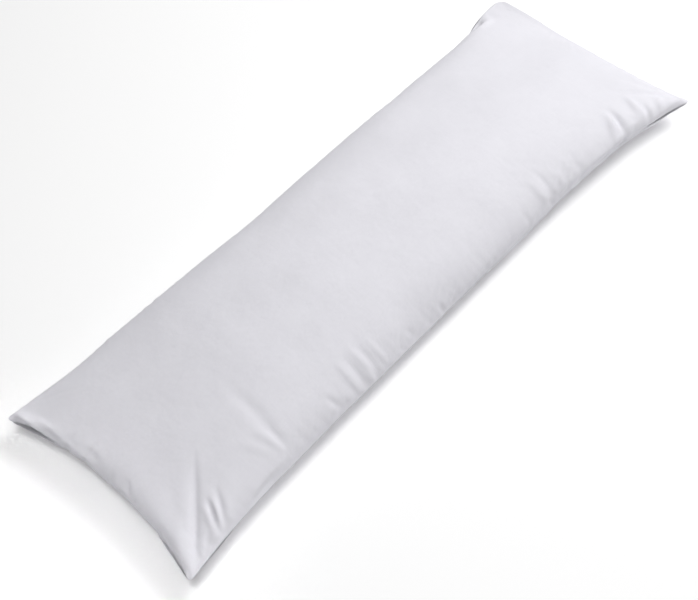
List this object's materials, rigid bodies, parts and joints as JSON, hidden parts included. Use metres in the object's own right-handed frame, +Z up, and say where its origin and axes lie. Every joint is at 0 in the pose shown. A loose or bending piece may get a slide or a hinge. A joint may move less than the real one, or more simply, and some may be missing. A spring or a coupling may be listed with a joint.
{
  "type": "body pillow",
  "caption": "Long plain white body pillow: a filled rectangular cotton case with a soft crown, drawn-in sides and a knife-edge seam all round.",
  "frame": {"origin": "centre of the bounding box in plan, on the surface that the pillow lies on", "axes": "+X along the pillow's length, +Y across its width, +Z up out of the crowned face"},
  "size_m": [1.3563, 0.4864, 0.146],
  "materials": {
    "cotton_cover": "plain-woven white cotton, matt, with a faint sheen"
  },
  "bodies": {
    "root": {"pillow": "cotton_cover"}
  },
  "joints": []
}
